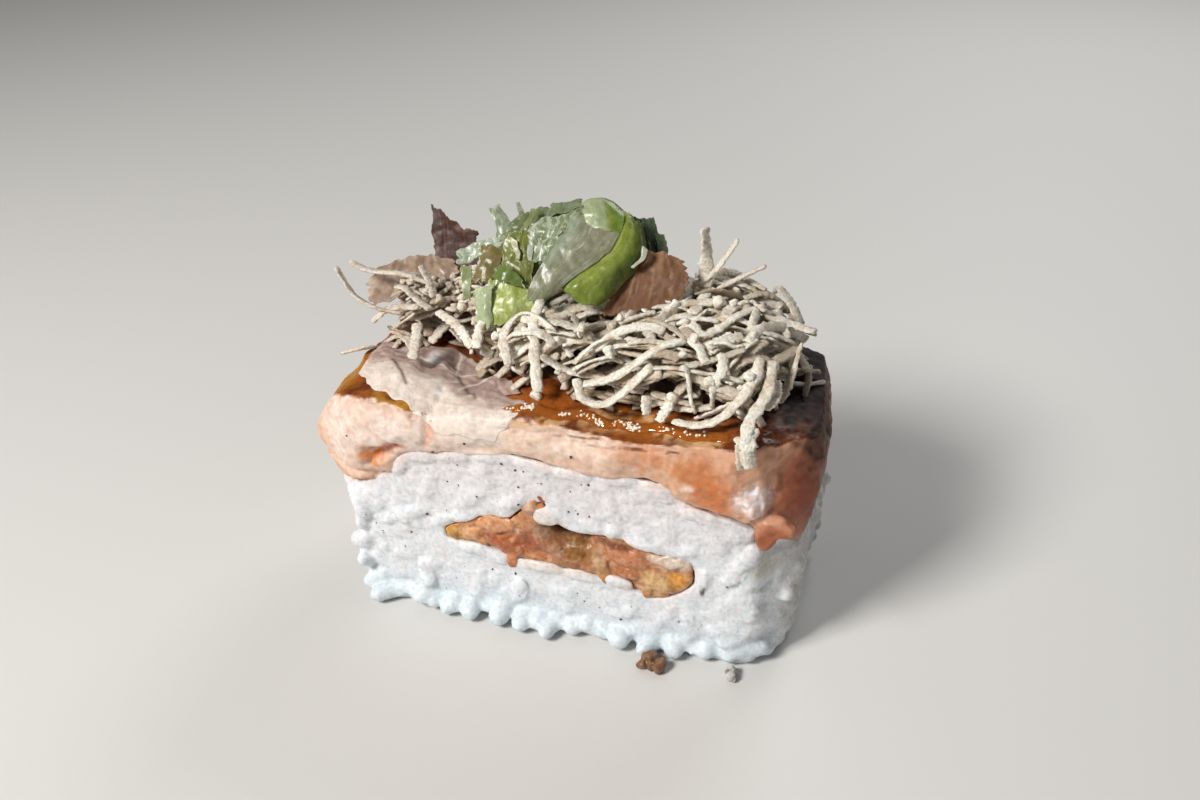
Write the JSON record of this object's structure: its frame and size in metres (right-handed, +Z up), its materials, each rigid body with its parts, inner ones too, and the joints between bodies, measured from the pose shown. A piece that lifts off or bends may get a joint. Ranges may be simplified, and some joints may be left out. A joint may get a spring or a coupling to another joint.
{
  "type": "salmon oshizushi",
  "caption": "Pressed sushi: rice block round a chopped fish filling, draped seared salmon, and a heap of crisp shreds with dried fish flakes and spring onion on top.",
  "frame": {"origin": "middle of the flat base of the rice block", "axes": "+X along the salmon's long side, to the right as seen from the cut face; the cut face that shows the filling looks to -Y; +Z up"},
  "size_m": [0.0598, 0.0308, 0.0486],
  "materials": {
    "rice": "moist, slightly translucent cooked rice",
    "filling": "moist chopped cooked fish in sauce",
    "salmon": "moist raw salmon with a seared, glazed top",
    "shreds": "dry, rough, fried to a pale cream",
    "dried_fish": "thin, translucent, satin shavings",
    "onion_green": "fresh, wet, bright green",
    "onion_pale": "fresh, wet, pale and translucent"
  },
  "bodies": {
    "root": {"rice": "rice", "filling": "filling", "salmon": "salmon", "crisp_shreds": "shreds", "flake_front": "dried_fish", "flake_back": "dried_fish", "flake_left": "dried_fish", "flake_right": "dried_fish", "onion_curl": "onion_green", "onion_core": "onion_pale", "onion_leaf_front": "onion_pale", "onion_leaf_middle": "onion_pale", "onion_leaf_back": "onion_pale", "onion_strip_left": "onion_pale", "onion_strip_up": "onion_pale", "onion_bit_right": "onion_green"}
  },
  "joints": []
}
